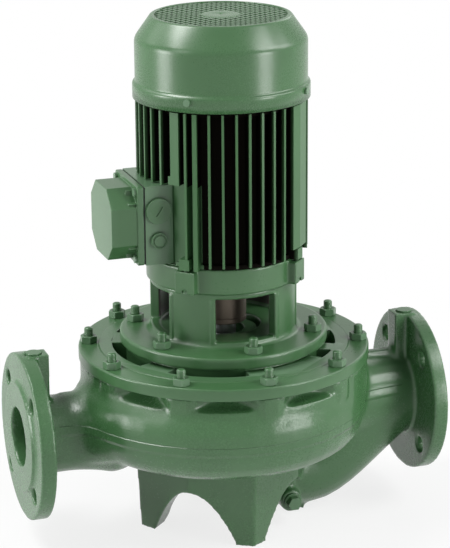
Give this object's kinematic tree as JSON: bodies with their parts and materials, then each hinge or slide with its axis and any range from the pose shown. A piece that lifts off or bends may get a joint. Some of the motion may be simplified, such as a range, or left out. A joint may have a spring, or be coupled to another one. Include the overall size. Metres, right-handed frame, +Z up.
{
  "type": "circulation pump",
  "caption": "In-line circulation pump: volute casing with flanged pipe connections on feet, a bracket with windows, and an upright finned motor with terminal box.",
  "frame": {"origin": "on the pump axis at the level of the feet, the bottom centre of the part", "axes": "+X along the pipe towards the suction flange, +Y to the back, +Z up along the shaft"},
  "size_m": [0.475, 0.328, 0.5765],
  "materials": {
    "green_casting": "satin green enamel over cast iron",
    "green_motor": "satin green enamel over aluminium",
    "green_sheet": "satin green enamel over sheet steel",
    "green_fastener": "satin green enamel, a little worn",
    "steel": "machined",
    "stainless": "satin",
    "bronze": "as cast",
    "rubber": "matte",
    "ceramic": "polished, stands for ceramic",
    "carbon": "lapped, stands for carbon",
    "copper": "varnished winding",
    "laminations": "stacked sheet",
    "black_plastic": "moulded",
    "board": "moulded"
  },
  "bodies": {
    "stator": {"volute_casing": "green_casting", "gauge_plugs": "green_fastener", "drain_plug": "green_fastener", "casing_wear_ring": "bronze", "casing_o_ring": "rubber", "casing_cover": "green_casting", "cover_studs": "green_fastener", "cover_nuts": "green_fastener", "motor_bracket": "green_casting", "bracket_studs": "green_fastener", "bracket_nuts": "green_fastener", "seal_seat": "ceramic", "drive_end_shield": "green_motor", "bracket_screws": "green_fastener", "shield_screws": "green_fastener", "motor_frame": "green_motor", "stator_core": "laminations", "stator_windings": "copper", "bearing_outer_rings": "steel", "bearing_balls": "steel", "bearing_spring": "steel", "fan_end_shield": "green_motor", "fan_cover": "green_sheet", "fan_cover_screws": "green_fastener", "terminal_box_base": "green_motor", "box_gasket": "rubber", "terminal_box_lid": "green_motor", "lid_screws": "green_fastener", "terminal_board": "board", "large_entry_cap": "green_motor", "small_entry_cap": "green_fastener"},
    "rotor": {"impeller": "bronze", "impeller_key": "steel", "impeller_washer": "stainless", "impeller_nut": "stainless", "pump_shaft": "steel", "seal_ring": "carbon", "seal_spring": "stainless", "slinger_ring": "rubber", "rotor_core": "laminations", "bearing_inner_rings": "steel", "cooling_fan": "black_plastic"}
  },
  "joints": [
    {"name": "shaft_spin", "type": "hinge", "parent": "stator", "child": "rotor", "pos_m": [0, 0, 0.2], "axis": [0, 0, 1], "continuous": true}
  ]
}
